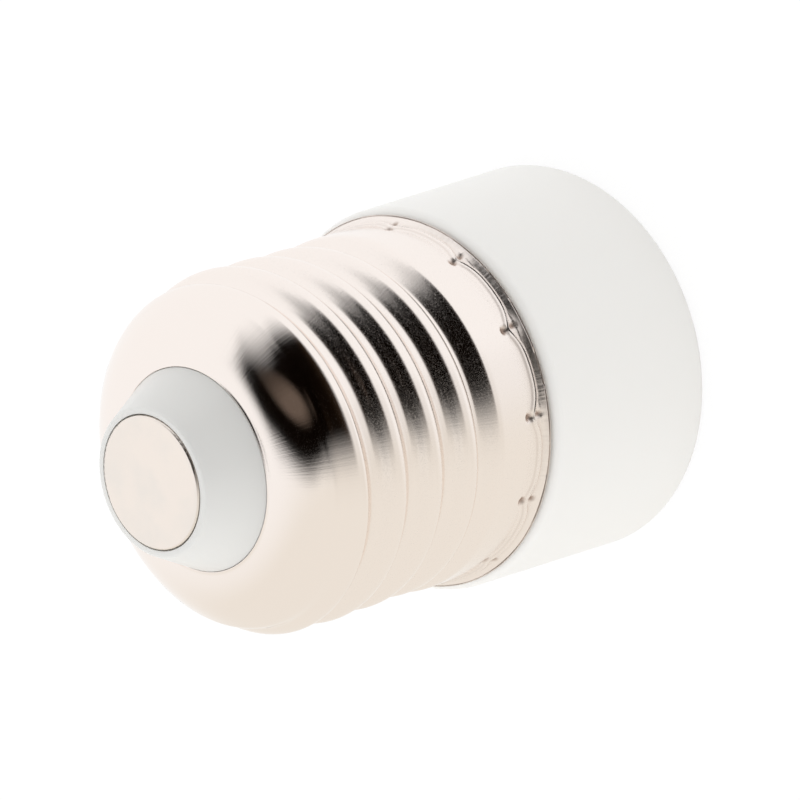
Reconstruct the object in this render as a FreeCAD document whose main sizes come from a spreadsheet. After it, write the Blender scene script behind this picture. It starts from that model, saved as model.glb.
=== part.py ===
import FreeCAD, Part
import Sketcher
import math
import os

# Lamp socket adapter: a large male screw base that takes a small screw-base lamp.
# Frame: +Z runs along the axis from the open end of the collar (z = 0) to the tip contact.
# +X points along the side strip inside. Millimetres.

V = FreeCAD.Vector
doc = FreeCAD.newDocument("SocketAdapter")

# Driving dimensions
SIZES = [
    ("total_height", 42.0, "collar rim to the face of the tip contact"),
    ("collar_height", 16.0, "collar rim to the shoulder under the screw shell"),
    ("collar_draft", 0.55, "radius that the collar gains down to its open rim"),
    ("shoulder_ledge", 0.4, "collar's shoulder beyond the flared rim of the shell"),
    ("shoulder_round", 0.7, "rounding of the collar's shoulder"),
    ("rim_round", 0.6, "rounding of the collar's open rim"),
    ("mouth_depth", 4.0, "depth of the recess for the lamp's skirt"),
    ("mouth_draft", 0.3, "radius that the recess gains down to the rim"),
    ("floor_to_tip", 15.0, "floor of the bore to the face of the tip contact"),
    ("shell_diameter", 26.2, "outer screw shell over the thread crests"),
    ("shell_pitch", 3.629, "pitch of the large thread"),
    ("shell_depth", 1.1, "depth of the large thread"),
    ("shell_sheet", 0.3, "sheet thickness of the outer shell"),
    ("shell_opening", 14.66, "hole in the dome for the nose"),
    ("dome_height", 5.8, "height of the dome along the axis"),
    ("nose_height", 3.97, "tip contact face to the opening of the dome"),
    ("band_swell", 0.2, "plain band beyond the thread crests, on the radius"),
    ("crease_swell", 0.32, "crimped ridge beyond the thread crests, on the radius"),
    ("crease_height", 1.8, "shoulder to the crimped ridge"),
    ("crease_step", 0.1, "step down from that ridge to the flare, on the radius"),
    ("step_height", 0.15, "height of that step"),
    ("flare", 0.85, "flared rim beyond the thread crests, on the radius"),
    ("rim_gap", 0.25, "gap between the flared rim and the shoulder"),
    ("dent_count", 13, "punch dents in the crimp"),
    ("dent_depth", 0.3, "how far each punch dent goes in"),
    ("crimp_wave", 0.2, "how far the ridge swings along the axis"),
    ("first_crest", 6.3, "tip contact face to the first crest, on the +X side"),
    ("dent_azimuth", -78.0, "angle of one punch dent about +Z"),
    ("crease_reach", 0.7, "length of the bend up to the crimped ridge"),
    ("thread_climb", 3.7, "how far the thread reaches up the dome"),
    ("thread_fade_in", 2.6, "length over which the thread grows out of the dome"),
    ("thread_fade_out", 2.2, "length over which it dies into the band"),
    ("band_width", 3.4, "crimped ridge to the end of the thread"),
    ("seat_clearance", 0.05, "radial gap between the shell's band and the hub seat"),
    ("hub_clearance", 0.3, "gap between the shell's inside and the hub"),
    ("hub_round", 0.86, "rounding of the hub's top, as a share of its width round the nose"),
    ("seat_width", 3.4, "height of the hub's seat above the shoulder"),
    ("groove_width", 1.5, "crimp groove in the hub's seat"),
    ("nose_clearance", 0.08, "gap round the nose in the dome's hole"),
    ("lip_wall", 0.46, "white lip round the contact's pocket, on the radius"),
    ("lip_round", 0.25, "rounding of that lip"),
    ("contact_diameter", 9.48, "tip contact"),
    ("contact_thickness", 0.6, "head of the tip contact"),
    ("contact_proud", 0.1, "contact face above the lip"),
    ("contact_gap", 0.1, "gap round the tip contact in its pocket"),
    ("shank_diameter", 2.0, "shank of the tip rivet"),
    ("shank_clearance", 0.05, "radial gap round that shank"),
    ("clinch_spread", 0.5, "closed end of the tip rivet beyond its shank, on the radius"),
    ("clinch_height", 0.6, "height of that closed end"),
    ("sleeve_diameter", 14.1, "inner sleeve, inside, over its widest"),
    ("sleeve_pitch", 2.822, "pitch of the small thread"),
    ("sleeve_depth", 0.8, "depth of the small thread"),
    ("sleeve_sheet", 0.3, "sheet thickness of the sleeve"),
    ("sleeve_clearance", 0.35, "radial gap between the sleeve and its bore"),
    ("sleeve_flange", 1.1, "flange of the sleeve on the ledge, beyond the bore"),
    ("flange_clearance", 0.7, "radial gap round that flange in the recess"),
    ("tongue_clearance", 0.37, "gap between the tongue's fold and the sleeve's floor flange"),
    ("sleeve_lead", 1.6, "plain wall at each end of the sleeve's thread"),
    ("leaf_width", 3.2, "width of the spring tongue"),
    ("leaf_sheet", 0.3, "sheet thickness of the spring tongue"),
    ("leaf_foot", 2.2, "foot of the tongue behind the axis"),
    ("leaf_bend", 0.5, "inside radius of the tongue's fold"),
    ("fold_gap", 0.2, "straight part between the fold's two bends"),
    ("leaf_reach", 2.35, "axis to the centre of the fold"),
    ("leaf_rise", 2.3, "free rise of the tongue over its fold"),
    ("leaf_tip", 2.6, "tongue beyond the axis"),
    ("strip_width", 2.5, "width of the side strip"),
    ("strip_sheet", 0.3, "sheet thickness of the side strip"),
    ("strip_end", 4.03, "opening of the dome to the end of the strip along the hub"),
    ("strip_bend", 0.2, "inside radius of the strip's bend"),
    ("slot_clearance", 0.1, "gap round the strip in its slot"),
    ("screw_edge", 0.15, "floor flange between its hole and a screw head"),
    ("screw_head", 2.0, "head diameter of a sleeve screw"),
    ("screw_head_height", 0.7, "head height of a sleeve screw"),
    ("screw_shank", 1.2, "shank diameter of a sleeve screw"),
    ("screw_length", 4.5, "shank length of a sleeve screw"),
    ("screw_slot", 0.3, "width of the driver slot"),
    ("screw_clearance", 0.05, "radial gap round the screw's shank"),
]

sheet = doc.addObject("Spreadsheet::Sheet", "Sizes")
for line, (alias, value, note) in enumerate(SIZES, start=1):
    sheet.set(f"A{line}", alias)
    sheet.set(f"B{line}", str(value))
    sheet.set(f"C{line}", note)
    sheet.setAlias(f"B{line}", alias)
doc.recompute()


def size(alias):
    return float(sheet.get(alias))


def value_of(expression):
    return float(sheet.evalExpression(expression))


def bind(item, path, expression):
    item.setExpression(path, expression)


# Heights and radii that follow from the driving dimensions, as expressions
TOP = "Sizes.total_height"
SHOULDER = "Sizes.collar_height"
OPENING = f"({TOP} - Sizes.nose_height)"
CREST_R = "(Sizes.shell_diameter / 2)"
ROOT_INSIDE_R = f"({CREST_R} - Sizes.shell_depth - Sizes.shell_sheet)"
HUB_R = f"({ROOT_INSIDE_R} - Sizes.hub_clearance)"
HUB_TOP = f"({OPENING} - Sizes.shell_sheet - Sizes.hub_clearance)"
BAND_R = f"({CREST_R} + Sizes.band_swell)"
CREASE_R = f"({CREST_R} + Sizes.crease_swell)"
FLARE_R = f"({CREST_R} + Sizes.flare)"
COLLAR_TOP_R = f"({FLARE_R} + Sizes.shoulder_ledge)"
COLLAR_RIM_R = f"({COLLAR_TOP_R} + Sizes.collar_draft)"
SEAT_R = f"({BAND_R} - Sizes.shell_sheet - Sizes.seat_clearance)"
SEAT_TOP = f"({SHOULDER} + Sizes.seat_width)"
CREASE_Z = f"({SHOULDER} + Sizes.crease_height)"
GROOVE_R = (
    f"({CREASE_R} - Sizes.crease_step - Sizes.shell_sheet"
    " - Sizes.dent_depth - 2 * Sizes.seat_clearance)"
)
FLOOR = f"({TOP} - Sizes.floor_to_tip)"
SLEEVE_R = "(Sizes.sleeve_diameter / 2)"
BORE_R = f"({SLEEVE_R} + Sizes.sleeve_sheet + Sizes.sleeve_clearance)"
FLANGE_R = f"({BORE_R} + Sizes.sleeve_flange)"
MOUTH_R = f"({FLANGE_R} + Sizes.flange_clearance)"
MOUTH_RIM_R = f"({MOUTH_R} + Sizes.mouth_draft)"
LEDGE = "Sizes.mouth_depth"
LIP_TOP = f"({TOP} - Sizes.contact_proud)"
CONTACT_R = "(Sizes.contact_diameter / 2)"
POCKET_R = f"({CONTACT_R} + Sizes.contact_gap)"
LIP_R = f"({POCKET_R} + Sizes.lip_wall)"
POCKET_FLOOR = f"({TOP} - Sizes.contact_thickness)"
SHANK_R = "(Sizes.shank_diameter / 2)"
SHANK_HOLE_R = f"({SHANK_R} + Sizes.shank_clearance)"
SCREW_HOLE_R = "(Sizes.screw_shank / 2 + Sizes.screw_clearance)"
CLINCH_R = f"({SHANK_R} + Sizes.clinch_spread)"
FOLD_OUT = "(Sizes.leaf_reach + Sizes.leaf_bend + Sizes.leaf_sheet)"
FLOOR_HOLE_R = f"(sqrt({FOLD_OUT} ^ 2 + (Sizes.leaf_width / 2) ^ 2) + Sizes.tongue_clearance)"
SCREW_X = f"({FLOOR_HOLE_R} + Sizes.screw_edge + Sizes.screw_head / 2)"
STRIP_START = f"({FLOOR_HOLE_R} + Sizes.slot_clearance)"
STRIP_END = f"({OPENING} - Sizes.strip_end)"
# The side strip meets the inside of the thread's roots with its two long edges
STRIP_OUT = f"(sqrt({ROOT_INSIDE_R} ^ 2 - (Sizes.strip_width / 2) ^ 2) - Sizes.slot_clearance)"


# Sketch helpers
def origin_plane(body, role):
    return next(item for item in body.Origin.OriginFeatures if item.Role == role)


def make_body(name):
    body = doc.addObject("PartDesign::Body", name)
    body.Label = name
    return body


def new_sketch(body, name, role):
    sketch = body.newObject("Sketcher::SketchObject", name)
    sketch.AttachmentSupport = [(origin_plane(body, role), "")]
    sketch.MapMode = "FlatFace"
    return sketch


def pin_point(sketch, index, end, axis, expression):
    # sets one coordinate of a sketch point, on the sketch axis where it is zero
    number = value_of(expression)
    if abs(number) < 1e-9:
        line = -2 if axis == "DistanceX" else -1
        sketch.addConstraint(Sketcher.Constraint("PointOnObject", index, end, line))
        return
    made = sketch.addConstraint(Sketcher.Constraint(axis, -1, 1, index, end, number))
    bind(sketch, f"Constraints[{made}]", expression)


def closed_outline(sketch, corners):
    # straight outline through corners given as pairs of expressions
    spots = [V(value_of(across), value_of(up), 0) for across, up in corners]
    count = len(spots)
    for i in range(count):
        sketch.addGeometry(Part.LineSegment(spots[i], spots[(i + 1) % count]), False)
    for i in range(count):
        following = (i + 1) % count
        sketch.addConstraint(Sketcher.Constraint("Coincident", i, 2, following, 1))
    for i, (across, up) in enumerate(corners):
        pin_point(sketch, i, 1, "DistanceX", across)
        pin_point(sketch, i, 1, "DistanceY", up)


def circle_in(sketch, across, up, radius):
    centre = V(value_of(across), value_of(up), 0)
    made = sketch.addGeometry(Part.Circle(centre, V(0, 0, 1), value_of(radius)), False)
    pin_point(sketch, made, 3, "DistanceX", across)
    pin_point(sketch, made, 3, "DistanceY", up)
    number = sketch.addConstraint(Sketcher.Constraint("Radius", made, value_of(radius)))
    bind(sketch, f"Constraints[{number}]", radius)


def revolve(body, name, corners):
    sketch = new_sketch(body, f"{name}_outline", "XZ_Plane")
    closed_outline(sketch, corners)
    turned = body.newObject("PartDesign::Revolution", name)
    turned.Profile = sketch
    turned.ReferenceAxis = (sketch, ["V_Axis"])
    turned.Angle = 360
    body.Tip = turned
    doc.recompute()
    return turned


def pad(body, name, role, corners, thickness):
    # pads both ways from the plane, to the full thickness
    sketch = new_sketch(body, f"{name}_outline", role)
    closed_outline(sketch, corners)
    padded = body.newObject("PartDesign::Pad", name)
    padded.Profile = sketch
    padded.SideType = "Symmetric"
    bind(padded, "Length", thickness)
    body.Tip = padded
    doc.recompute()
    return padded


def pocket_both_ways(body, name, sketch, depth):
    before = body.Shape.Volume
    cut = body.newObject("PartDesign::Pocket", name)
    cut.Profile = sketch
    cut.SideType = "Symmetric"
    bind(cut, "Length", depth)
    body.Tip = cut
    doc.recompute()
    if not body.Shape.Volume < before:
        raise RuntimeError(f"{name} cuts nothing")
    return cut


def edges_where(shape, test):
    return [f"Edge{i}" for i, edge in enumerate(shape.Edges, start=1) if test(edge)]


def round_edges(body, name, test, amount):
    base = body.Tip
    edges = edges_where(base.Shape, test)
    if not edges:
        raise RuntimeError(f"{name} finds no edge")
    rounding = body.newObject("PartDesign::Fillet", name)
    rounding.Base = (base, edges)
    bind(rounding, "Radius", amount)
    body.Tip = rounding
    doc.recompute()
    return rounding


def round_ring(body, name, radius, height, amount):
    # rounds the circular edge of this radius at this height
    wanted_r = value_of(radius)
    wanted_z = value_of(height)

    def test(edge):
        if not isinstance(edge.Curve, Part.Circle):
            return False
        off = abs(edge.Curve.Radius - wanted_r) + abs(edge.Curve.Center.z - wanted_z)
        return off < 1e-4

    return round_edges(body, name, test, amount)


def round_fold(body, name, across, up, amount):
    # rounds the straight edge along Y through this point of the side view
    wanted = (value_of(across), value_of(up))

    def test(edge):
        ends = [vertex.Point for vertex in edge.Vertexes]
        return len(ends) == 2 and all(math.dist((p.x, p.z), wanted) < 1e-4 for p in ends)

    return round_edges(body, name, test, amount)


def round_tip(body, name, across, amount):
    # rounds the two short edges across the sheet at the end of the tongue
    wanted = value_of(across)

    def test(edge):
        ends = [vertex.Point for vertex in edge.Vertexes]
        level = all(abs(p.x - wanted) < 1e-4 for p in ends)
        return level and abs(ends[0].y - ends[-1].y) < 1e-4

    return round_edges(body, name, test, amount)


def flat_sketch(body, name, height):
    sketch = new_sketch(body, name, "XY_Plane")
    bind(sketch, "AttachmentOffset.Base.z", height)
    doc.recompute()
    return sketch


# White moulded body: collar, hub and nose in one piece
def make_moulding():
    body = make_body("body")
    opening_r = "(Sizes.shell_opening / 2 - Sizes.nose_clearance)"
    groove_low = f"({CREASE_Z} - Sizes.groove_width / 2)"
    groove_high = f"({CREASE_Z} + Sizes.groove_width / 2)"
    outline = [
        (COLLAR_RIM_R, "0"),
        (COLLAR_TOP_R, SHOULDER),
        (SEAT_R, SHOULDER),
        (SEAT_R, groove_low),
        (GROOVE_R, groove_low),
        (GROOVE_R, groove_high),
        (SEAT_R, groove_high),
        (SEAT_R, SEAT_TOP),
        (HUB_R, f"({SEAT_TOP} + {SEAT_R} - {HUB_R})"),
        (HUB_R, HUB_TOP),
        (opening_r, HUB_TOP),
        (opening_r, OPENING),
        (LIP_R, LIP_TOP),
        (POCKET_R, LIP_TOP),
        (POCKET_R, POCKET_FLOOR),
        (SHANK_HOLE_R, POCKET_FLOOR),
        (SHANK_HOLE_R, FLOOR),
        (BORE_R, FLOOR),
        (BORE_R, LEDGE),
        (MOUTH_R, LEDGE),
        (MOUTH_RIM_R, "0"),
    ]
    revolve(body, "moulding", outline)
    hub_round = f"(({HUB_R} - {opening_r}) * Sizes.hub_round)"
    round_ring(body, "hub_shoulder", HUB_R, HUB_TOP, hub_round)
    round_ring(body, "collar_shoulder", COLLAR_TOP_R, SHOULDER, "Sizes.shoulder_round")
    round_ring(body, "collar_rim", COLLAR_RIM_R, "0", "Sizes.rim_round")
    round_ring(body, "mouth_edge", MOUTH_RIM_R, "0", "Sizes.rim_round")
    round_ring(body, "nose_lip", LIP_R, LIP_TOP, "Sizes.lip_round")
    # slot for the side strip, from the floor of the bore out through the hub wall
    slot = new_sketch(body, "strip_slot_outline", "XZ_Plane")
    slot_low = f"({FLOOR} - Sizes.slot_clearance)"
    slot_high = f"({FLOOR} + Sizes.strip_sheet + Sizes.strip_bend)"
    slot_end = f"({STRIP_END} + Sizes.slot_clearance)"
    seat_in = f"({STRIP_OUT} - Sizes.strip_sheet)"
    past_hub = f"({HUB_R} + Sizes.hub_clearance)"
    closed_outline(
        slot,
        [
            (FLOOR_HOLE_R, slot_low),
            (past_hub, slot_low),
            (past_hub, slot_end),
            (seat_in, slot_end),
            (seat_in, slot_high),
            (FLOOR_HOLE_R, slot_high),
        ],
    )
    pocket_both_ways(body, "strip_slot", slot, "(Sizes.strip_width + 2 * Sizes.slot_clearance)")
    pilots = flat_sketch(body, "pilot_outline", f"({FLOOR} + Sizes.screw_length / 2)")
    for sign in (1, -1):
        circle_in(pilots, f"({sign} * {SCREW_X})", "0", SCREW_HOLE_R)
    pocket_both_ways(body, "pilot_holes", pilots, "(Sizes.screw_length + Sizes.sleeve_sheet)")
    return body


# Tip contact: a rivet whose wide flat head is the contact, closed over the spring's foot
def make_tip_contact():
    body = make_body("tip_contact")
    leaf_under = f"({FLOOR} - Sizes.leaf_sheet)"
    clinch_end = f"({leaf_under} - Sizes.clinch_height)"
    outline = [
        ("0", clinch_end),
        (f"({CLINCH_R} - Sizes.clinch_height / 2)", clinch_end),
        (CLINCH_R, f"({clinch_end} + Sizes.clinch_height / 2)"),
        (CLINCH_R, leaf_under),
        (SHANK_R, leaf_under),
        (SHANK_R, POCKET_FLOOR),
        (CONTACT_R, POCKET_FLOOR),
        (CONTACT_R, TOP),
        ("0", TOP),
    ]
    revolve(body, "rivet", outline)
    edge_round = "(Sizes.contact_thickness / 4)"
    round_ring(body, "contact_edge", CONTACT_R, TOP, edge_round)
    return body


# Spring tongue: foot on the floor, folded back over the axis and sprung towards the mouth
FOLD_LOW = f"({FLOOR} - 2 * Sizes.leaf_sheet - 2 * Sizes.leaf_bend - Sizes.fold_gap)"
LEAF_SLOPE = f"(Sizes.leaf_rise / ({FOLD_OUT} + Sizes.leaf_tip))"
LEAF_SKEW = f"(Sizes.leaf_sheet * sqrt(1 + {LEAF_SLOPE} ^ 2))"


def make_centre_contact():
    body = make_body("centre_contact")
    foot_top = f"({FLOOR} - Sizes.leaf_sheet)"
    tip_low = f"({FOLD_LOW} - Sizes.leaf_rise)"
    inside = f"({FOLD_OUT} - Sizes.leaf_sheet)"
    outline = [
        ("(0 - Sizes.leaf_foot)", FLOOR),
        (FOLD_OUT, FLOOR),
        (FOLD_OUT, FOLD_LOW),
        ("(0 - Sizes.leaf_tip)", tip_low),
        ("(0 - Sizes.leaf_tip)", f"({tip_low} + {LEAF_SKEW})"),
        (inside, f"({FOLD_LOW} + {LEAF_SKEW} - Sizes.leaf_sheet * {LEAF_SLOPE})"),
        (inside, foot_top),
        ("(0 - Sizes.leaf_foot)", foot_top),
    ]
    pad(body, "leaf", "XZ_Plane", outline, "Sizes.leaf_width")
    outer_bend = "(Sizes.leaf_bend + Sizes.leaf_sheet)"
    for name, across, up, amount in (
        ("fold_outer_foot", FOLD_OUT, FLOOR, outer_bend),
        ("fold_inner_foot", inside, foot_top, "Sizes.leaf_bend"),
        ("fold_outer_tongue", FOLD_OUT, FOLD_LOW, outer_bend),
        ("fold_inner_tongue", inside, outline[5][1], "Sizes.leaf_bend"),
    ):
        round_fold(body, name, across, up, amount)
    round_tip(body, "tongue_tip", "(0 - Sizes.leaf_tip)", "(Sizes.leaf_width / 4)")
    hole = flat_sketch(body, "rivet_hole_outline", f"({FLOOR} - Sizes.leaf_sheet / 2)")
    circle_in(hole, "0", "0", SHANK_HOLE_R)
    pocket_both_ways(body, "rivet_hole", hole, "(2 * Sizes.leaf_sheet)")
    return body


# Side strip: from under the sleeve's floor flange through the hub, then along the hub's outside
def make_side_strip():
    body = make_body("side_strip")
    under = f"({FLOOR} + Sizes.strip_sheet)"
    inside = f"({STRIP_OUT} - Sizes.strip_sheet)"
    outline = [
        (STRIP_START, FLOOR),
        (STRIP_OUT, FLOOR),
        (STRIP_OUT, STRIP_END),
        (inside, STRIP_END),
        (inside, under),
        (STRIP_START, under),
    ]
    pad(body, "strip", "XZ_Plane", outline, "Sizes.strip_width")
    round_fold(body, "bend_outer", STRIP_OUT, FLOOR, "(Sizes.strip_bend + Sizes.strip_sheet)")
    round_fold(body, "bend_inner", inside, under, "Sizes.strip_bend")
    hole = flat_sketch(body, "screw_hole_outline", under)
    circle_in(hole, SCREW_X, "0", SCREW_HOLE_R)
    pocket_both_ways(body, "screw_hole", hole, "(4 * Sizes.strip_sheet)")
    return body


# Two slotted screws through the sleeve's floor flange
def make_sleeve_screws():
    head_seat = f"({FLOOR} - Sizes.sleeve_sheet)"
    head_low = f"({head_seat} - Sizes.screw_head_height)"
    screws = []
    for side, sign in (("strip_side", 1), ("far_side", -1)):
        across = f"({sign} * {SCREW_X})"
        shank = doc.addObject("Part::Cylinder", f"screw_shank_{side}")
        bind(shank, "Radius", "Sizes.screw_shank / 2")
        bind(shank, "Height", "Sizes.screw_length")
        bind(shank, "Placement.Base.z", head_seat)
        head = doc.addObject("Part::Cylinder", f"screw_head_{side}")
        bind(head, "Radius", "Sizes.screw_head / 2")
        bind(head, "Height", "Sizes.screw_head_height / 2")
        bind(head, "Placement.Base.z", f"{head_seat} - Sizes.screw_head_height / 2")
        crown = doc.addObject("Part::Cone", f"screw_crown_{side}")
        bind(crown, "Radius1", "Sizes.screw_head / 2 - Sizes.screw_head_height / 3")
        bind(crown, "Radius2", "Sizes.screw_head / 2")
        bind(crown, "Height", "Sizes.screw_head_height / 2")
        bind(crown, "Placement.Base.z", head_low)
        slot = doc.addObject("Part::Box", f"screw_slot_{side}")
        bind(slot, "Length", "2 * Sizes.screw_head")
        bind(slot, "Width", "Sizes.screw_slot")
        bind(slot, "Height", "Sizes.screw_head_height")
        bind(slot, "Placement.Base.x", f"{across} - Sizes.screw_head")
        bind(slot, "Placement.Base.y", "0 - Sizes.screw_slot / 2")
        bind(slot, "Placement.Base.z", f"{head_low} - Sizes.screw_head_height / 2")
        for item in (shank, head, crown):
            bind(item, "Placement.Base.x", across)
        whole = doc.addObject("Part::MultiFuse", f"screw_blank_{side}")
        whole.Shapes = [shank, head, crown]
        slotted = doc.addObject("Part::Cut", f"screw_{side}")
        slotted.Base = whole
        slotted.Tool = slot
        screws.append(slotted)
    group = doc.addObject("Part::Compound", "sleeve_screws")
    group.Label = "sleeve_screws"
    group.Links = screws
    doc.recompute()
    return group


# Rolled sheet with a screw thread
ROWS_PER_PITCH = 12


def spline_gain(count):
    # a cubic spline runs inside its net; this much further out, it meets the true radius
    return 3.0 / (2.0 + math.cos(2 * math.pi / count))


def eased(share):
    share = min(max(share, 0.0), 1.0)
    return share * share * (3.0 - 2.0 * share)


def thread_radius(along, pitch, widest, depth, offset):
    # radius of the rolled section at a distance from a crest; equal arcs meet half way down
    arc = (pitch ** 2 / 4 + depth ** 2) / (4 * depth)
    along = abs((along / pitch + 0.5) % 1.0 - 0.5) * pitch
    crest_arc = arc + offset
    root_arc = arc - offset
    crest_centre = widest - arc
    root_centre = widest - depth + arc
    meet = crest_arc / (crest_arc + root_arc) * pitch / 2
    if along < meet:
        return crest_centre + math.sqrt(crest_arc ** 2 - along ** 2)
    return root_centre - math.sqrt(root_arc ** 2 - (pitch / 2 - along) ** 2)


def ring_of(sides, radius, height):
    # one row of the net; radius and height are numbers or functions of the angle
    row = []
    for j in range(sides):
        angle = 2 * math.pi * j / sides
        out = radius(angle) if callable(radius) else radius
        up = height(angle) if callable(height) else height
        out *= spline_gain(sides)
        row.append(V(out * math.cos(angle), out * math.sin(angle), up))
    return row


def skin(rows):
    # a face closed round the axis through rows of its net, clamped at the first and last row
    sides = len(rows[0])
    degree = min(3, len(rows) - 1)
    spans = len(rows) - degree
    net = [[row[j] for row in rows] for j in range(sides)]
    round_knots = list(range(sides + 1))
    long_knots = list(range(spans + 1))
    round_counts = [1] * (sides + 1)
    long_counts = [degree + 1] + [1] * (spans - 1) + [degree + 1]
    surface = Part.BSplineSurface()
    surface.buildFromPolesMultsKnots(
        net, round_counts, long_counts, round_knots, long_knots, True, False, 3, degree
    )
    return surface.toShape()


def solid_of(faces):
    group = Part.makeCompound(faces)
    group.sewShape(0.001)
    solid = Part.makeSolid(group.Shells[0])
    if solid.Volume < 0:
        solid.reverse()
    return solid


def threaded_rows(sides, start, stop, base, strength, thread, offset):
    # rows from start to stop along the axis; strength fades the groove in and out
    pitch, widest, depth, crest = thread
    gain = spline_gain(ROWS_PER_PITCH)
    count = max(2, round(abs(stop - start) / pitch * ROWS_PER_PITCH))
    rows = []
    for i in range(count + 1):
        height = start + (stop - start) * i / count
        share = strength(height)

        def radius(angle, height=height, share=share):
            along = height - crest - pitch * angle / (2 * math.pi)
            groove = widest + offset - thread_radius(along, pitch, widest, depth, offset)
            groove = depth / 2 + (groove - depth / 2) * gain
            return base(height) + offset - share * groove

        rows.append(ring_of(sides, radius, height))
    return rows


def add_shape(name, shape):
    item = doc.addObject("Part::Feature", name)
    item.Label = name
    item.Shape = shape
    item.Placement = FreeCAD.Placement()
    return item


# Outer screw shell: dome, large thread, plain band, crimped ridge and flared rim
DOME_TURN = math.radians(48)
DOME_ROWS = 7


def make_outer_shell():
    crest_r = value_of(CREST_R)
    opening_r = size("shell_opening") / 2
    opening_z = size("total_height") - size("nose_height")
    dome_height = size("dome_height")
    dome_end = opening_z - dome_height
    crease_z = size("collar_height") + size("crease_height")
    rim_z = size("collar_height") + size("rim_gap")
    band_r = value_of(BAND_R)
    band_top = crease_z + size("band_width")
    fade_in = size("thread_fade_in")
    fade_out = size("thread_fade_out")
    fade_top = dome_end + size("thread_climb")
    crest_z = size("total_height") - size("first_crest")
    thread = (size("shell_pitch"), crest_r, size("shell_depth"), crest_z)
    dents = int(size("dent_count"))
    sides = 4 * dents
    dent_gain = 3.0 / (2.0 + math.cos(2 * math.pi * dents / sides))

    def strength(height):
        return eased((fade_top - height) / fade_in) * eased((height - band_top) / fade_out)

    def dent_phase(angle):
        return dent_gain * math.cos(dents * (angle - math.radians(size("dent_azimuth"))))

    def side(inset):
        def base(height):
            share = min(max((height - dome_end) / (dome_height - inset), 0.0), 1.0)
            dome = opening_r + (crest_r - opening_r - inset) * math.sqrt(1 - share ** 2) + inset
            return dome + (band_r - crest_r) * eased((band_top + fade_out - height) / fade_out)

        def pinch(angle):
            dent = size("dent_depth") / 2 * (1 + dent_phase(angle))
            return value_of(CREASE_R) - inset - dent

        def swing(angle):
            return crease_z + size("crimp_wave") * dent_phase(angle)

        def foot(angle):
            return pinch(angle) - size("crease_step")

        def foot_swing(angle):
            return swing(angle) - size("step_height")

        rows = []
        for i in range(DOME_ROWS):
            turn = DOME_TURN * i / DOME_ROWS
            out = opening_r + (crest_r - opening_r - inset) * math.sin(turn)
            up = dome_end + (dome_height - inset) * math.cos(turn)
            rows.append(ring_of(sides, out, up))
        start = dome_end + (dome_height - inset) * math.cos(DOME_TURN)
        stop = crease_z + size("crease_reach")
        rows += threaded_rows(sides, start, stop, base, strength, thread, -inset)
        rows.append(ring_of(sides, pinch, swing))
        foot_ring = ring_of(sides, foot, foot_swing)
        rim = ring_of(sides, value_of(FLARE_R) - inset, rim_z)
        return rows, foot_ring, rim

    outside, outer_foot, outer_rim = side(0.0)
    inside, inner_foot, inner_rim = side(size("shell_sheet"))
    faces = [
        skin(outside),
        skin(inside),
        skin([outside[0], inside[0]]),
        skin([outside[-1], outer_foot]),
        skin([outer_foot, outer_rim]),
        skin([inside[-1], inner_foot]),
        skin([inner_foot, inner_rim]),
        skin([outer_rim, inner_rim]),
    ]
    return add_shape("outer_screw_shell", solid_of(faces))


# Inner screw shell: flange on the mouth's ledge, small thread, turned-in flange on the floor
SLEEVE_SIDES = 36
FLANGE_STEPS = 5


def make_inner_shell():
    wide_r = value_of(SLEEVE_R)
    skin_gap = size("sleeve_sheet")
    bore_r = value_of(BORE_R)
    ledge_z = size("mouth_depth")
    floor_z = value_of(FLOOR)
    flange_r = value_of(FLANGE_R)
    hole_r = value_of(FLOOR_HOLE_R)
    lead = size("sleeve_lead")
    thread = (size("sleeve_pitch"), wide_r, size("sleeve_depth"), ledge_z)

    def strength(height):
        near = eased((height - ledge_z - lead) / lead)
        return near * eased((floor_z - lead - height) / lead)

    def flange(first, last, height):
        steps = [first + (last - first) * i / FLANGE_STEPS for i in range(FLANGE_STEPS + 1)]
        return [ring_of(SLEEVE_SIDES, out, height) for out in steps]

    def side(offset):
        # the side away from the axis lies on ledge and floor, the other one sheet inside
        drop = skin_gap - offset
        low = ledge_z - drop
        high = floor_z - drop
        wall_r = wide_r + offset
        rows = flange(flange_r, bore_r, low) + [ring_of(SLEEVE_SIDES, wall_r, low)]
        rows += threaded_rows(
            SLEEVE_SIDES, ledge_z + lead / 2, floor_z - lead / 2,
            lambda height: wide_r, strength, thread, offset,
        )
        return rows + flange(wall_r, hole_r, high)

    outside = side(skin_gap)
    inside = side(0.0)
    faces = [
        skin(outside),
        skin(inside),
        skin([outside[0], inside[0]]),
        skin([outside[-1], inside[-1]]),
    ]
    sleeve = solid_of(faces)
    hole = value_of(SCREW_HOLE_R)
    for sign in (1, -1):
        centre = V(sign * value_of(SCREW_X), 0, floor_z - 2 * skin_gap)
        sleeve = sleeve.cut(Part.makeCylinder(hole, 3 * skin_gap, centre))
    return add_shape("inner_screw_shell", sleeve)


# Build, check and write every sub-part
parts = [
    make_moulding(),
    make_outer_shell(),
    make_tip_contact(),
    make_inner_shell(),
    make_centre_contact(),
    make_side_strip(),
    make_sleeve_screws(),
]
doc.recompute()

for item in doc.Objects:
    if "Invalid" in item.State or "Error" in item.State:
        raise RuntimeError(f"{item.Name} failed: {item.State}")
for item in parts:
    if item.Shape.isNull() or not item.Shape.isValid():
        raise RuntimeError(f"{item.Label} has no valid shape")

os.makedirs("parts", exist_ok=True)
for item in parts:
    item.Shape.exportStep(f"parts/{item.Label}.step")
    print(f"{item.Label}: {item.Shape.Volume:.1f} mm3, {len(item.Shape.Solids)} solid(s)")
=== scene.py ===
import bpy
import math
import numpy as np
from mathutils import Euler, Matrix, Vector


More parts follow.
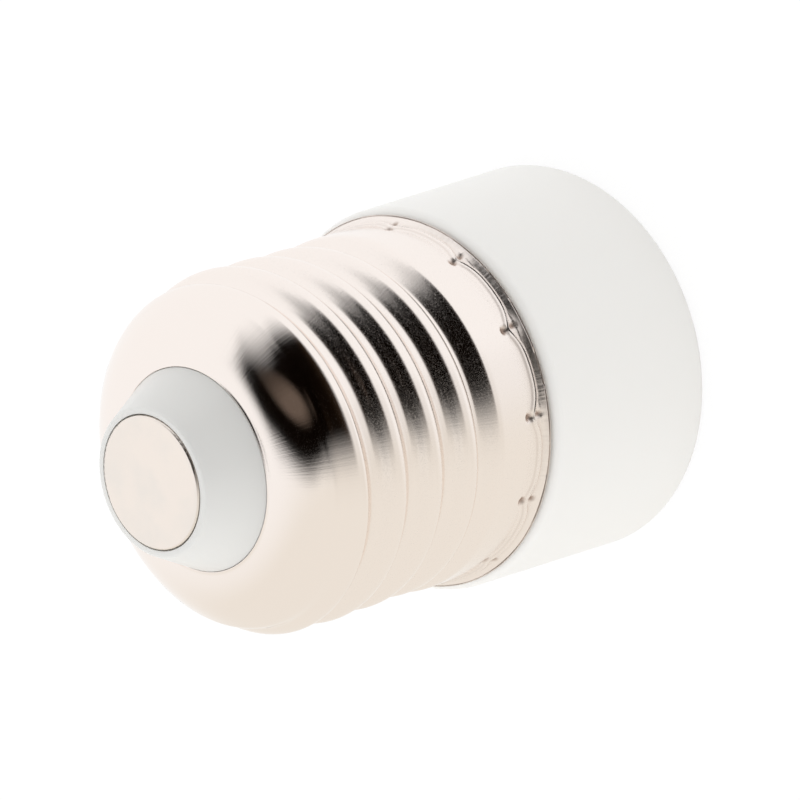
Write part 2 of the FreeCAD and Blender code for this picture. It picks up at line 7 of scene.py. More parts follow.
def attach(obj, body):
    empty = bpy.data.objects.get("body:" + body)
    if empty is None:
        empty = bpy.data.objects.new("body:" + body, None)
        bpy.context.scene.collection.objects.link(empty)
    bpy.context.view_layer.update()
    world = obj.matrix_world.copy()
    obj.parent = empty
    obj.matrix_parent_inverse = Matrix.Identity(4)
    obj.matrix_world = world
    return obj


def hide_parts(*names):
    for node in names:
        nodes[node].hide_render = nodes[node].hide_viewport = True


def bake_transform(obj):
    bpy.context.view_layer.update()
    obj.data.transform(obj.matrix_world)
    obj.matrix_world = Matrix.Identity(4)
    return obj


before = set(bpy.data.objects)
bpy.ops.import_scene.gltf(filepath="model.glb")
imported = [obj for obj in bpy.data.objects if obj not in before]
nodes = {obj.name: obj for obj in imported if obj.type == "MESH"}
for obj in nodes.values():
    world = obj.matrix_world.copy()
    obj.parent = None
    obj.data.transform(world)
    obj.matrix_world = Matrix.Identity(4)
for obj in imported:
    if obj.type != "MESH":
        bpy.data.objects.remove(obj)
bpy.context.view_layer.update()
mm = 0.001
print("frame loaded with", len(nodes), "nodes")


# one shader socket, so that maths on it reads as plain expressions
class Val:
    def __init__(self, tree, socket):
        self.tree = tree
        self.socket = socket

    def node(self, kind, settings=None, **inputs):
        # an input goes by its name, or by i and its number
        made = self.tree.nodes.new(kind)
        for name, value in (settings or {}).items():
            setattr(made, name, value)
        for name, value in inputs.items():
            numbered = name[0] == "i" and name[1:].isdigit()
            slot = made.inputs[int(name[1:]) if numbered else name]
            if isinstance(value, Val):
                self.tree.links.new(value.socket, slot)
            else:
                slot.default_value = value
        return made

    def out(self, made, name=0):
        return Val(self.tree, made.outputs[name])

    def maths(self, operation, *values):
        made = self.node("ShaderNodeMath", {"operation": operation},
                         **{f"i{i}": v for i, v in enumerate(values)})
        return self.out(made)

    def __add__(self, other): return self.maths("ADD", self, other)
    def __radd__(self, other): return self.maths("ADD", other, self)
    def __sub__(self, other): return self.maths("SUBTRACT", self, other)
    def __rsub__(self, other): return self.maths("SUBTRACT", other, self)
    def __mul__(self, other): return self.maths("MULTIPLY", self, other)

    def step(self, low, high):
        # smooth rise from 0 to 1 between low and high
        made = self.node("ShaderNodeMapRange", {"interpolation_type": "SMOOTHSTEP"},
                         Value=self, i1=low, i2=high, i3=0.0, i4=1.0)
        return self.out(made)

    def between(self, rise, fall):
        # smooth rise over the first pair of values and smooth fall over the second
        return self.step(*rise) * (1.0 - self.step(*fall))


def newMaterial(name):
    made = bpy.data.materials.new(name)
    made.use_nodes = True
    made.node_tree.nodes.clear()
    return made, Val(made.node_tree, None)


def finishMaterial(start, shader):
    output = start.node("ShaderNodeOutputMaterial")
    start.tree.links.new(shader.outputs[0], output.inputs["Surface"])


def mixShaders(start, share, first, second):
    mix = start.node("ShaderNodeMixShader", None, i0=share)
    start.tree.links.new(first.outputs[0], mix.inputs[1])
    start.tree.links.new(second.outputs[0], mix.inputs[2])
    return mix


def axisParts(start, vector):
    split = start.node("ShaderNodeSeparateXYZ", None, i0=vector)
    return [start.out(split, i) for i in range(3)]


def surfaceCoords(start):
    # object position in millimetres, whole and as x, y and z
    place = start.node("ShaderNodeTexCoord")
    scaled = start.node("ShaderNodeVectorMath", {"operation": "SCALE"},
                        i0=start.out(place, "Object"), Scale=1 / mm)
    point = start.out(scaled)
    return point, axisParts(start, point)


def noise(start, point, scale, detail, roughness=0.5):
    made = start.node("ShaderNodeTexNoise", None, Vector=point, Scale=scale, Detail=detail,
                      Roughness=roughness)
    return start.out(made)


def ringNoise(start, angle, marks, height, scale, detail, roughness):
    # noise that closes round the axis, finer with more marks
    place = start.node("ShaderNodeCombineXYZ", None, i0=start.maths("COSINE", angle) * marks,
                       i1=start.maths("SINE", angle) * marks, i2=height)
    return noise(start, start.out(place), scale, detail, roughness)


def mixed(start, share, first, second):
    # the mix node has a socket of each name for each data type; the colour ones are enabled
    made = start.node("ShaderNodeMix", {"data_type": "RGBA"})
    for name, value in (("Factor", share), ("A", first), ("B", second)):
        socket = [i for i in made.inputs if i.name == name and i.enabled][-1]
        if isinstance(value, Val):
            start.tree.links.new(value.socket, socket)
        else:
            socket.default_value = value
    return Val(start.tree, next(o for o in made.outputs if o.enabled))


# camera at the photograph's viewing angle: before the tip, looking down and rolled
view = {"place": (0.304, -190.906, 202.620), "elevation": 44.21, "roll": -107.43,
        "lens": 163.96, "sensor": 36.0, "clipStart": 0.01, "clipEnd": 20.0}


def makeCamera():
    data = bpy.data.cameras.new("photoCamera")
    data.lens = view["lens"]
    data.sensor_width = view["sensor"]
    data.clip_start = view["clipStart"]
    data.clip_end = view["clipEnd"]
    camera = bpy.data.objects.new("photoCamera", data)
    bpy.context.scene.collection.objects.link(camera)
    tilt = Euler((math.radians(90 - view["elevation"]), 0, 0)).to_matrix()
    turned = tilt @ Matrix.Rotation(math.radians(view["roll"]), 3, "Z")
    camera.matrix_world = Matrix.Translation(Vector(view["place"]) * mm) @ turned.to_4x4()
    bpy.context.scene.camera = camera


makeCamera()
print("camera placed")


# helpers for pieces rolled out of a grid
def newGrid(name, across, along):
    bpy.ops.object.select_all(action="DESELECT")
    bpy.ops.mesh.primitive_grid_add(x_subdivisions=across, y_subdivisions=along, size=1.0)
    made = bpy.context.object
    made.name = name
    return made


def rolledPiece(name, radii, heights, angles, marks=None):
    # a grid with one row per row of the arrays, rolled round the axis and closed on itself
    weldReach = 2e-7
    rows, columns = radii.shape
    piece = newGrid(name, columns - 1, rows - 1)
    piece.data.name = name
    count = len(piece.data.vertices)
    flat = np.empty(count * 3)
    piece.data.vertices.foreach_get("co", flat)
    flat = flat.reshape(count, 3)
    column = np.rint((flat[:, 0] + 0.5) * (columns - 1)).astype(int)
    row = np.rint((flat[:, 1] + 0.5) * (rows - 1)).astype(int)
    turn = angles[column]
    out = radii[row, column]
    placed = np.stack([out * np.cos(turn), out * np.sin(turn), heights[row, column]], axis=1) * mm
    piece.data.vertices.foreach_set("co", placed.ravel())
    # the marks carry the pits and the painted shade beside the ridge
    if marks is not None:
        layer = piece.data.attributes.new("punchedWithPaintedShade", "FLOAT", "POINT")
        layer.data.foreach_set("value", marks[row, column].astype(np.float32))
    piece.data.update()
    bpy.ops.object.mode_set(mode="EDIT")
    bpy.ops.mesh.select_all(action="SELECT")
    bpy.ops.mesh.remove_doubles(threshold=weldReach)
    bpy.ops.mesh.normals_make_consistent(inside=False)
    bpy.ops.object.mode_set(mode="OBJECT")
    bpy.ops.object.shade_smooth()
    return piece


def eased(share):
    share = np.clip(share, 0.0, 1.0)
    return share * share * (3.0 - 2.0 * share)


def hump(away, width):
    return np.exp(-(away / width) ** 2)


def groove(along, pitch, depth, offset):
    # how deep the rolled thread lies below its crest, as arcs that meet on the flank
    arc = (pitch ** 2 / 4 + depth ** 2) / (4 * depth)
    along = np.abs((along / pitch + 0.5) % 1.0 - 0.5) * pitch
    crestArc = arc + offset
    rootArc = arc - offset
    meet = crestArc / (crestArc + rootArc) * pitch / 2
    crest = crestArc - np.sqrt(np.maximum(crestArc ** 2 - along ** 2, 0))
    root = depth - rootArc + np.sqrt(np.maximum(rootArc ** 2 - (pitch / 2 - along) ** 2, 0))
    return np.where(along < meet, crest, root)


def cornerRows(centre, radius, start, stop, count):
    # points of a small round, in the plane of radius and height
    turns = np.radians(np.linspace(start, stop, count))
    return [(centre[0] + radius * math.cos(t), centre[1] + radius * math.sin(t)) for t in turns]


# outer screw shell: one drawn and rolled sheet from the dome's hole to the flared rim
# the two soft painted shades beside the ridge: place, width and strength of each
# pits: place across and up, reach and depth of the two pits of each dent
shell = {
    "sectorColumns": 30, "dents": 13, "dentAzimuth": -78.0, "crowding": 0.6, "sheet": 0.3,
    "openingRadius": 7.27, "openingHeight": 38.03, "holeSlope": 0.14, "holeReach": 1.5,
    "domeHeight": 5.8, "domeSpan": 5.77, "domeTurn": 48, "domeRows": 22, "innerDomeRows": 10,
    "crestRadius": 13.1, "pitch": 3.629, "depth": 1.1, "firstCrest": 35.49,
    "fadeTop": 35.93, "fadeIn": 2.6, "bandTop": 20.45, "fadeOut": 2.2, "bandRadius": 13.3,
    "rowStep": 0.15, "innerStep": 0.42,
    "ridgeHeight": 16.92, "ridgeLift": 0.16, "ridgeFlat": 0.06, "ridgeRound": 0.06,
    "ridgeFoot": 0.3, "ridgeStep": 0.06, "ridgeSwing": 0.45, "dentReach": 1.0,
    "waveSwing": 0.05, "waveLength": 6.48, "dentPress": 0.55, "pressReach": 0.35,
    "bandReach": 1.8, "bandEase": 1.5, "stripReach": 0.6, "stripEase": 0.5, "stripInset": 0.07,
    "bandRows": (1.8, 1.65, 1.5, 1.35, 1.2, 1.05, 0.92, 0.8, 0.7),
    "ridgeRows": (0.6, 0.53, 0.46, 0.4, 0.34, 0.28, 0.23, 0.18, 0.14, 0.1, 0.07, 0.045, 0.02),
    "lastRow": 0.595, "creaseShade": 0.2, "shadedFeet": ((0.24, 0.09, 1.0), (-0.2, 0.08, 0.7)),
    "pits": ((0.0, 0.40, 0.44, 0.23), (0.12, -0.36, 0.34, 0.15)), "pitFloor": 0.1,
    "rimRadius": 13.95, "rimHeight": 16.25, "edgeRound": 0.08,
    "innerFoot": ((13.4, 16.58), (13.08, 16.88), (13.0, 17.2), (13.0, 18.6)),
}


def shellAngles():
    # angles of the columns, crowded at the dents, and each column's way from its nearest dent
    share = np.arange(shell["dents"] * shell["sectorColumns"] + 1) / shell["sectorColumns"]
    nearest = np.rint(share)
    off = share - nearest
    off = off - shell["crowding"] / (2 * math.pi) * np.sin(2 * math.pi * off)
    sector = 2 * math.pi / shell["dents"]
    angles = math.radians(shell["dentAzimuth"]) + sector * (nearest + off)
    return angles, off * sector * shell["bandRadius"]


def makeOuterShell():
    angles, arc = shellAngles()
    one = np.ones_like(angles)
    sheet, edge, bandR = shell["sheet"], shell["edgeRound"], shell["bandRadius"]
    holeR, holeZ = shell["openingRadius"], shell["openingHeight"]
    rimR, rimZ = shell["rimRadius"], shell["rimHeight"]
    reach, rise = shell["crestRadius"] - holeR, shell["domeHeight"]
    domeEnd = holeZ - rise
    radii, heights, marks = [], [], []

    def addRow(radius, height, pitAndShadeMark=0.0):
        radii.append(radius * one)
        heights.append(height * one)
        marks.append(pitAndShadeMark * one)

    def addRows(points):
        for radius, height in points:
            addRow(radius, height)

    def domeRow(turn, inset):
        away = (reach - inset) * math.sin(turn)
        dip = 0 if inset else shell["holeSlope"] * away * math.exp(-away / shell["holeReach"])
        addRow(holeR + away, domeEnd + (rise - inset) * math.cos(turn) - dip)

    def threadRow(height, inset):
        share = min(max((height - domeEnd) / (rise - inset), 0.0), 1.0)
        base = holeR + (reach - inset) * math.sqrt(1 - share ** 2)
        aboveBand = (height - shell["bandTop"]) / shell["fadeOut"]
        base += (bandR - shell["crestRadius"]) * eased(1 - aboveBand)
        strength = eased((shell["fadeTop"] - height) / shell["fadeIn"]) * eased(aboveBand)
        along = height - shell["firstCrest"] - shell["pitch"] * angles / (2 * math.pi)
        addRow(base - strength * groove(along, shell["pitch"], shell["depth"], -inset), height)

    def creaseRow(s):
        # s is the height over the crimped ridge, which bends towards the dome at each dent
        swing = shell["ridgeSwing"] * hump(arc, shell["dentReach"])
        swing = swing + shell["waveSwing"] * np.cos(2 * math.pi * arc / shell["waveLength"])
        lift = shell["ridgeLift"] * (1 - shell["dentPress"] * hump(arc, shell["pressReach"]))
        if s >= 0:
            follow = eased((shell["bandReach"] - s) / shell["bandEase"])
            radius = bandR + lift * hump(s, shell["ridgeFoot"])
        else:
            follow = eased((s + shell["stripReach"]) / shell["stripEase"])
            flat, bend = shell["ridgeFlat"], shell["ridgeRound"]
            away = math.hypot(max(-s - flat, 0), bend) - bend
            start = bandR - shell["stripInset"]
            flare = start + (rimR - start) * min(-s / (shell["ridgeHeight"] - rimZ), 1.0)
            radius = flare + (bandR + lift - start) * math.exp(-away / shell["ridgeStep"])
        height = shell["ridgeHeight"] + s + swing * follow
        # painted shade beside the ridge, carried in the marks with the pits
        footShade = sum(strength * hump(s - place, wide) for place, wide, strength in shell["shadedFeet"])
        pitAndShadeMark = shell["creaseShade"] * footShade * one
        over = height - shell["ridgeHeight"] - shell["ridgeSwing"]
        for across, up, pitReach, deep in shell["pits"]:
            far = np.sqrt((arc - across) ** 2 + (over - up) ** 2) / pitReach
            hollow = 1 - eased((far - shell["pitFloor"]) / (1 - shell["pitFloor"]))
            radius = radius - deep * hollow
            pitAndShadeMark = np.maximum(pitAndShadeMark, hollow)
        addRow(radius, height, pitAndShadeMark)

    # outside, from the hole down to the rim
    domeTurn = math.radians(shell["domeTurn"])
    addRows(cornerRows((holeR + edge, holeZ - edge), edge, 180, 100, 4))
    firstTurn = math.asin(edge / shell["domeSpan"])
    for turn in np.linspace(firstTurn, domeTurn, shell["domeRows"]):
        domeRow(turn, 0.0)
    start = domeEnd + rise * math.cos(domeTurn)
    stop = shell["ridgeHeight"] + shell["bandReach"]
    steps = round((start - stop) / shell["rowStep"])
    for i in range(1, steps):
        threadRow(start + (stop - start) * i / steps, 0.0)
    for s in shell["bandRows"] + shell["ridgeRows"] + (0.0,):
        creaseRow(s)
    for s in shell["ridgeRows"][::-1] + (shell["lastRow"],):
        creaseRow(-s)
    addRows(cornerRows((rimR - edge, rimZ + edge), edge, -25, -90, 3))
    # inside, back up to the hole
    addRows(cornerRows((rimR - sheet + edge, rimZ + edge), edge, -90, -170, 3))
    addRows(shell["innerFoot"])
    start = domeEnd + (rise - sheet) * math.cos(domeTurn)
    steps = round((start - stop) / shell["innerStep"])
    for i in range(steps):
        threadRow(stop + (start - stop) * i / steps, sheet)
    lastTurn = math.asin(edge / (shell["domeSpan"] - sheet))
    for turn in np.linspace(domeTurn, lastTurn, shell["innerDomeRows"]):
        domeRow(turn, sheet)
    addRows(cornerRows((holeR + edge, holeZ - sheet + edge), edge, 260, 180, 3))
    addRow(radii[0], heights[0])
    piece = rolledPiece("outerShell", np.array(radii), np.array(heights), angles, np.array(marks))
    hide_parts("outer_screw_shell")
    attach(piece, "adapter")
    print("outer shell:", len(piece.data.polygons), "faces,", len(radii), "rows")
    return piece


# inner sleeve: flange on the ledge, small thread, turned-in flange on the floor
sleeve = {
    "columns": 200, "radius": 7.05, "sheet": 0.3, "pitch": 2.822, "depth": 0.8, "ledge": 4.0,
    "floor": 27.0, "lead": 1.6, "flangeRadius": 8.8, "holeRadius": 3.903, "edgeRound": 0.08,
    "bend": 0.25, "straight": 0.1, "rowStep": 0.16, "outerStep": 0.3,
    "colour": (0.8, 0.75, 0.68, 1), "roughness": 0.22,
}


def makeInnerSleeve():
    angles = np.linspace(0, 2 * math.pi, sleeve["columns"] + 1)
    radii, heights = [], []
    edge, bend, sheet = sleeve["edgeRound"], sleeve["bend"], sleeve["sheet"]
    ledge, floor, wall = sleeve["ledge"], sleeve["floor"], sleeve["radius"]
    flangeR, holeR, lead = sleeve["flangeRadius"], sleeve["holeRadius"], sleeve["lead"]

    def addRows(points):
        for radius, height in points:
            radii.append(radius + 0 * angles)
            heights.append(height + 0 * angles)

    def threadRows(start, stop, step, offset):
        steps = round(abs(stop - start) / step)
        for i in range(steps + 1):
            height = start + (stop - start) * i / steps
            strength = eased((height - ledge - lead) / lead)
            strength *= eased((floor - lead - height) / lead)
            along = height - ledge - sleeve["pitch"] * angles / (2 * math.pi)
            cut = strength * groove(along, sleeve["pitch"], sleeve["depth"], offset)
            addRows([(wall + offset - cut, height)])

    # the side that faces the lamp, from the mouth to the floor
    low, high = ledge - sheet, floor - sheet
    wide, straight = bend + sheet, sleeve["straight"]
    addRows(cornerRows((flangeR - edge, ledge - edge), edge, 80, 0, 3))
    addRows(cornerRows((flangeR - edge, low + edge), edge, 0, -90, 3))
    addRows(cornerRows((wall + bend, low + bend), bend, -90, -180, 6))
    threadRows(low + bend + straight, high - bend - straight, sleeve["rowStep"], 0.0)
    addRows(cornerRows((wall - bend, high - bend), bend, 0, 90, 6))
    addRows(cornerRows((holeR + edge, high + edge), edge, -90, -170, 3))
    # the side on the moulding, back to the mouth
    addRows(cornerRows((holeR + edge, floor - edge), edge, 180, 90, 3))
    addRows(cornerRows((wall - bend, floor - wide), wide, 90, 10, 6))
    threadRows(floor - wide - straight, ledge + bend + straight, sleeve["outerStep"], sheet)
    addRows(cornerRows((wall + sheet + bend, ledge + bend), bend, -180, -90, 4))
    addRows([(flangeR - edge, ledge), (radii[0], heights[0])])
    piece = rolledPiece("innerSleeve", np.array(radii), np.array(heights), angles)
    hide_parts("inner_screw_shell")
    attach(piece, "adapter")
    print("inner sleeve:", len(piece.data.polygons), "faces")
    return piece


# spring tongue: the riveted foot on the floor and the fold, with worn edges
tongue = {"weldReach": 1e-6, "flatAngle": 0.5, "edge": 0.04, "edgeAngle": 50, "smoothAngle": 35,
          "foldTop": 26.6, "foldLow": 25.5, "foldX": 2.35,
          "colour": (0.72, 0.52, 0.24, 1), "roughness": 0.26}


def makeTongue():
    shape = nodes["centre_contact"].data.copy()
    shape.name = "springTongue"
    piece = bpy.data.objects.new("springTongue", shape)
    bpy.context.scene.collection.objects.link(piece)
    bpy.ops.object.select_all(action="DESELECT")
    piece.select_set(True)
    bpy.context.view_layer.objects.active = piece
    bpy.ops.object.mode_set(mode="EDIT")
    bpy.ops.mesh.select_all(action="SELECT")
    bpy.ops.mesh.remove_doubles(threshold=tongue["weldReach"])
    bpy.ops.mesh.dissolve_limited(angle_limit=math.radians(tongue["flatAngle"]))
    bpy.ops.object.mode_set(mode="OBJECT")
    worn = piece.modifiers.new("wornEdges", "BEVEL")
    worn.width = tongue["edge"] * mm
    worn.segments = 2
    worn.limit_method = "ANGLE"
    worn.angle_limit = math.radians(tongue["edgeAngle"])
    bpy.ops.object.modifier_apply(modifier=worn.name)
    bpy.ops.object.shade_smooth_by_angle(angle=math.radians(tongue["smoothAngle"]))
    piece.data.materials.clear()
    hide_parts("centre_contact")
    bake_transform(piece)
    print("spring tongue:", len(piece.data.polygons), "faces")
    return piece


# white moulded plastic of the body, with painted shade that makes the nose a little greyer
plastic = {"colour": (0.93, 0.915, 0.885, 1), "noseShadeColour": (0.816, 0.811, 0.787, 1),
           "noseShadeStart": (36.0, 37.0), "roughness": 0.3, "cloudScale": 0.12, "cloudDepth": 0.12,
           "grain": 0.02, "grainScale": 3.0, "grainStrength": 0.08, "specular": 0.5,
           "glowThrough": 0.15, "glowRadius": (1.0, 0.95, 0.9), "glowScale": 0.0015}


def plasticMaterial():
    made, start = newMaterial("whiteMouldedPlastic")
    point, axes = surfaceCoords(start)
    grain = noise(start, point, plastic["grainScale"], 4.0)
    cloud = noise(start, point, plastic["cloudScale"], 2.0)
    bump = start.node("ShaderNodeBump", None, Strength=plastic["grainStrength"],
                      Distance=plastic["grain"] * mm, Height=grain)
    # painted shade: the same plastic drawn greyer on the nose
    noseShade = axes[2].step(*plastic["noseShadeStart"])
    tone = mixed(start, noseShade, plastic["colour"], plastic["noseShadeColour"])
    shader = start.node("ShaderNodeBsdfPrincipled", None, **{
        "Base Color": tone, "Normal": start.out(bump),
        "Roughness": plastic["roughness"] + (cloud - 0.5) * plastic["cloudDepth"],
        "Specular IOR Level": plastic["specular"], "Subsurface Weight": plastic["glowThrough"],
        "Subsurface Radius": plastic["glowRadius"], "Subsurface Scale": plastic["glowScale"]})
    finishMaterial(start, shader)
    return made


# metals: draw marks from the dome to the rim, a fine grain, and on the outer shell the
# rolled grain below the dome, the ribs of the crimping roll on the strip, and painted shade in
# the pits and beside the ridge
nickel = {"colour": (0.945, 0.872, 0.825, 1), "roughness": 0.1, "drawMarks": 90.0,
          "drawStretch": 0.12, "fineScale": 9.0, "fineRoughness": 0.06, "fineHeight": 0.6,
          "bumpStrength": 0.5, "bump": 0.006, "cloudScale": 0.32, "cloudEdge": (0.35, 0.7),
          "stripEdge": (16.75, 16.9), "stripRoughness": 0.04, "ribMarks": 260.0,
          "ribScale": 0.22, "ribHeight": 10.0,
          "rolledEdge": (32.0, 35.0), "rolledRoughness": 0.09, "rolledLeast": 0.85,
          "rolledGrain": (0.38, 0.72), "workedEdge": (17.3, 18.4), "workedRoughness": 0.08,
          "pitShadeColour": (0.34, 0.22, 0.16, 1), "pitShadeShare": 0.8, "pitRoughness": 0.3}
contact = {"colour": (0.925, 0.845, 0.78, 1), "roughness": 0.3,
           "cloudColour": (0.88, 0.82, 0.765, 1)}
strip = {"colour": (0.72, 0.52, 0.24, 1), "roughness": 0.28}
screws = {"colour": (0.6, 0.6, 0.6, 1), "roughness": 0.35}


def metalMaterial(name, look, punchedWithPaintedShade=False):
    made, start = newMaterial(name)
    point, (x, y, z) = surfaceCoords(start)
    angle = start.maths("ARCTAN2", y, x)
    drawn = ringNoise(start, angle, nickel["drawMarks"], z * nickel["drawStretch"], 1.0, 3.0, 0.6)
    fine = noise(start, point, nickel["fineScale"], 3.0)
    height = drawn + fine * nickel["fineHeight"]
    rough = look["roughness"] + (fine - 0.5) * nickel["fineRoughness"]
    tone = look["colour"]
    if "cloudColour" in look:
        cloud = noise(start, point, nickel["cloudScale"], 3.0)
        tone = mixed(start, cloud.step(*nickel["cloudEdge"]), tone, look["cloudColour"])
    if punchedWithPaintedShade:
        flare = 1.0 - z.step(*nickel["stripEdge"])
        ribs = ringNoise(start, angle, nickel["ribMarks"], z, nickel["ribScale"], 2.0, 0.5)
        height = height + flare * ribs * nickel["ribHeight"]
        rolled = (1.0 - z.step(*nickel["rolledEdge"])) * nickel["rolledRoughness"]
        rough = rough + rolled * (nickel["rolledLeast"] + fine.step(*nickel["rolledGrain"]))
        rough = rough + (1.0 - z.step(*nickel["workedEdge"])) * nickel["workedRoughness"]
        pitAndShadeMark = start.out(start.node("ShaderNodeAttribute", {"attribute_name": "punchedWithPaintedShade"}), "Fac")
        rough = rough + flare * nickel["stripRoughness"] + pitAndShadeMark * nickel["pitRoughness"]
        # painted shade: the pits and the creases beside the ridge drawn darker in the base colour
        tone = mixed(start, pitAndShadeMark * nickel["pitShadeShare"], tone, nickel["pitShadeColour"])
    bump = start.node("ShaderNodeBump", None, Strength=nickel["bumpStrength"],
                      Distance=nickel["bump"] * mm, Height=height)
    shader = start.node("ShaderNodeBsdfPrincipled", None, **{"Base Color": tone}, Metallic=1.0,
                        Roughness=rough, Normal=start.out(bump))
    finishMaterial(start, shader)
    return made


def dress(node, material):
    data = nodes[node].data
    data.materials.clear()
    data.materials.append(material)


makeOuterShell().data.materials.append(metalMaterial("warmNickel", nickel, punchedWithPaintedShade=True))
makeInnerSleeve().data.materials.append(metalMaterial("sleeveNickel", sleeve))
makeTongue().data.materials.append(metalMaterial("springBrass", tongue))
dress("body", plasticMaterial())
dress("tip_contact", metalMaterial("contactNickel", contact))
dress("side_strip", metalMaterial("stripBrass", strip))
dress("sleeve_screws", metalMaterial("zincScrew", screws))
print("materials assigned")


# studio: pale floor and white surroundings, sizes in metres
studio = {"floorSize": 4.0, "floorDrop": 0.00003, "floorColour": (0.92, 0.92, 0.92, 1),
          "floorGlow": 0.8, "floorLight": 1.06, "white": (1, 1, 1, 1), "worldLight": 1.14}


def makeFloor():
    bpy.ops.mesh.primitive_plane_add(size=studio["floorSize"])
    floor = bpy.context.object
    floor.name = "floor"
    floor.location.z = -studio["floorDrop"]
    made, start = newMaterial("paleFloor")
    path = start.node("ShaderNodeLightPath")
    seen = start.out(path, "Is Camera Ray")
    for kind in ("Is Glossy Ray", "Is Transmission Ray"):
        seen = start.maths("MAXIMUM", seen, start.out(path, kind))
    plain = start.node("ShaderNodeBsdfDiffuse", None, Color=studio["floorColour"])
    glow = start.node("ShaderNodeEmission", None, Color=studio["white"],
                      Strength=studio["floorLight"])
    finishMaterial(start, mixShaders(start, seen * studio["floorGlow"], plain, glow))
    made.cycles.emission_sampling = "NONE"
    floor.data.materials.append(made)
    floor.visible_glossy = False


def stageOnly(made, glossy, diffuse):
    made.visible_camera = False
    made.visible_diffuse = diffuse
    made.visible_glossy = glossy
    made.visible_shadow = False
    made.visible_transmission = False


def glowMaterial(name, colour):
    # a plain glow that lights nothing by itself
    made, start = newMaterial(name)
    if callable(colour):
        colour = colour(start)
    glow = start.node("ShaderNodeEmission", None, Color=colour, Strength=1.0)
    finishMaterial(start, glow)
    made.cycles.emission_sampling = "NONE"
    return made


# the room that the metal mirrors: white with one dark flag, painted on a large shell
# flagLeft and the next three: the value at the start, then (from, to, change) along the turn
room = {"radius": 0.5, "height": 0.03, "segments": 64, "rings": 32,
        "flagLeft": (-0.3, (64, 122, 0.36)), "flagLeftSoft": (0.25, (38, 56, -0.11)),
        "flagRight": (0.87, (35, 100, -0.25), (92, 118, -0.35)),
        "flagRightSoft": (0.1, (50, 80, 0.15), (92, 104, -0.13)),
        "flagTurn": ((-6, 12), (106, 119)), "flagDarkening": (8, 26),
        "flagLowColour": (0.024, 0.014, 0.008, 1), "flagColour": (0.002, 0.001, 0.0005, 1),
        "warmFade": (-0.55, 0.0), "warmColour": (0.885, 0.857, 0.8, 1),
        "softAcross": ((-0.8, -0.2), (0.0, 0.3)), "softTurn": ((-60, -30), (30, 60)),
        "softShare": 0.25, "softColour": (0.45, 0.4, 0.34, 1)}


def bentLine(turn, line):
    value = line[0]
    for low, high, change in line[1:]:
        value = value + turn.step(low, high) * change
    return value


def roomColour(start):
    # x of the mirrored direction, and its turn from the front horizon (0) over the zenith (90)
    place = start.node("ShaderNodeTexCoord")
    centred = start.node("ShaderNodeVectorMath", {"operation": "SUBTRACT"},
                         i0=start.out(place, "Object"), i1=(0, 0, room["height"]))
    unit = start.node("ShaderNodeVectorMath", {"operation": "NORMALIZE"}, i0=start.out(centred))
    x, y, z = axisParts(start, start.out(unit))
    turn = start.maths("ARCTAN2", z, y * -1.0) * math.degrees(1)
    left, leftSoft = bentLine(turn, room["flagLeft"]), bentLine(turn, room["flagLeftSoft"])
    right, rightSoft = bentLine(turn, room["flagRight"]), bentLine(turn, room["flagRightSoft"])
    flag = x.between((left - leftSoft, left + leftSoft), (right - rightSoft, right + rightSoft))
    flag = flag * turn.between(*room["flagTurn"])
    dark = mixed(start, turn.step(*room["flagDarkening"]), room["flagLowColour"],
                 room["flagColour"])
    lit = mixed(start, 1.0 - x.step(*room["warmFade"]), studio["white"], room["warmColour"])
    soft = x.between(*room["softAcross"]) * turn.between(*room["softTurn"])
    lit = mixed(start, soft * room["softShare"], lit, room["softColour"])
    return mixed(start, flag, lit, dark)


def makeRoom():
    bpy.ops.object.select_all(action="DESELECT")
    bpy.ops.mesh.primitive_uv_sphere_add(segments=room["segments"], ring_count=room["rings"],
                                         radius=room["radius"], location=(0, 0, room["height"]))
    bpy.ops.object.transform_apply(location=True)
    made = bpy.context.object
    made.name = "mirroredRoom"
    made.data.materials.append(glowMaterial("roomWithDarkFlag", roomColour))
    stageOnly(made, True, False)


# shades that take a little light off: a wide arc on the flag's side and a card near the nose
shade = {"grey": (0.77, 0.77, 0.77, 1), "radius": 0.4, "start": -0.1, "length": 0.5,
         "lowTurn": 4, "sweep": 100}
nearShade = {"grey": (0.3, 0.3, 0.3, 1), "place": (0.0125, -0.0255, 0.061), "size": 0.028,
             "aim": (0, 0, 0.04)}


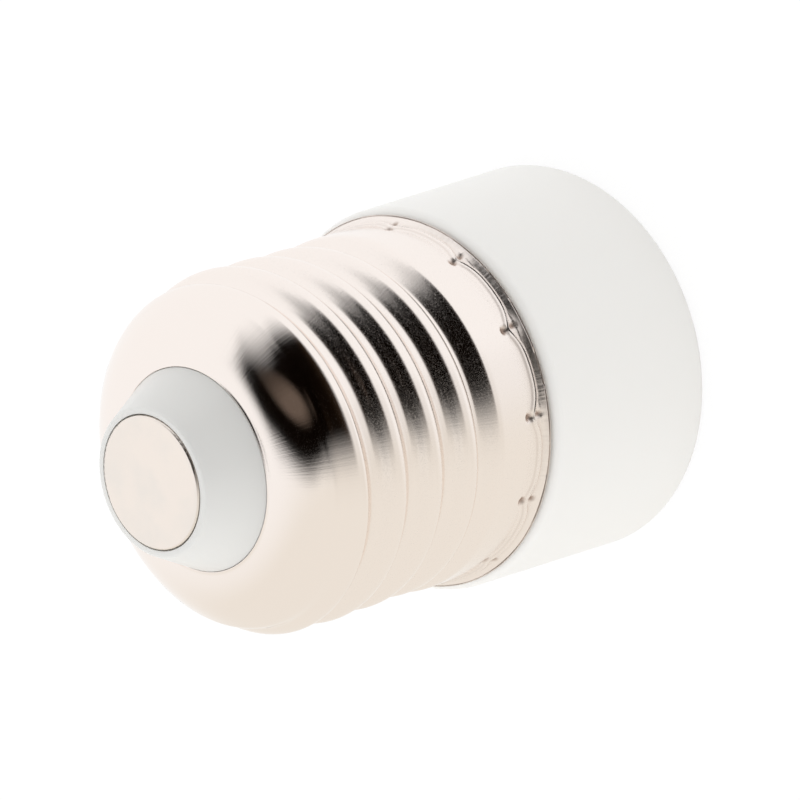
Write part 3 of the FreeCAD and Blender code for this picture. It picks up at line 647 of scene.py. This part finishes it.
def makeShades():
    wide = newGrid("softShade", 2, 24)
    for vertex in wide.data.vertices:
        turn = math.radians(shade["lowTurn"] + (vertex.co.y + 0.5) * shade["sweep"])
        vertex.co = (shade["start"] + (vertex.co.x + 0.5) * shade["length"],
                     -shade["radius"] * math.cos(turn), shade["radius"] * math.sin(turn))
    wide.data.materials.append(glowMaterial("shadeGrey", shade["grey"]))
    stageOnly(wide, False, True)
    near = newGrid("nearShade", 8, 8)
    place = Vector(nearShade["place"])
    facing = (place - Vector(nearShade["aim"])).to_track_quat("Z", "Y").to_matrix()
    for vertex in near.data.vertices:
        vertex.co = place + facing @ (vertex.co * nearShade["size"])
    near.data.materials.append(glowMaterial("nearGrey", nearShade["grey"]))
    stageOnly(near, False, True)


# a dim window of light close to the dome, which shows in the dark part of its reflection
window = {"place": (0.00592, -0.01302, 0.04606), "long": (-0.01064, -0.01018, -0.002),
          "short": (0.0036, -0.0069, -0.0045), "colour": (0.13, 0.097, 0.077, 1),
          "fade": 0.25, "leastShare": 0.45, "brighter": 0.75, "brighterEdge": (-0.3, 0.2)}


def makeWindow():
    pane = newGrid("dimWindow", 8, 8)
    middle, along, across = (Vector(window[key]) for key in ("place", "long", "short"))
    for vertex in pane.data.vertices:
        vertex.co = middle + along * vertex.co.x + across * vertex.co.y
    made, start = newMaterial("dimWindow")
    place = start.out(start.node("ShaderNodeTexCoord"), "UV")
    x, y = (part - 0.5 for part in axisParts(start, place)[:2])
    share = 1.0 - (x * x + y * y).step(0.0, window["fade"])
    share = share * (window["leastShare"] + x.step(*window["brighterEdge"]) * window["brighter"])
    clear = start.node("ShaderNodeBsdfTransparent")
    glow = start.node("ShaderNodeEmission", None, Color=window["colour"], Strength=1.0)
    finishMaterial(start, mixShaders(start, share, clear, glow))
    made.cycles.emission_sampling = "NONE"
    pane.data.materials.append(made)
    stageOnly(pane, True, False)


def makeWorld():
    world = bpy.data.worlds.new("whiteRoom")
    bpy.context.scene.world = world
    world.use_nodes = True
    back = world.node_tree.nodes["Background"]
    back.inputs["Color"].default_value = studio["white"]
    back.inputs["Strength"].default_value = studio["worldLight"]
    world.cycles.sampling_method = "NONE"


makeFloor()
makeRoom()
makeShades()
makeWindow()
makeWorld()
bpy.context.scene.view_settings.view_transform = "Standard"
print("studio ready")
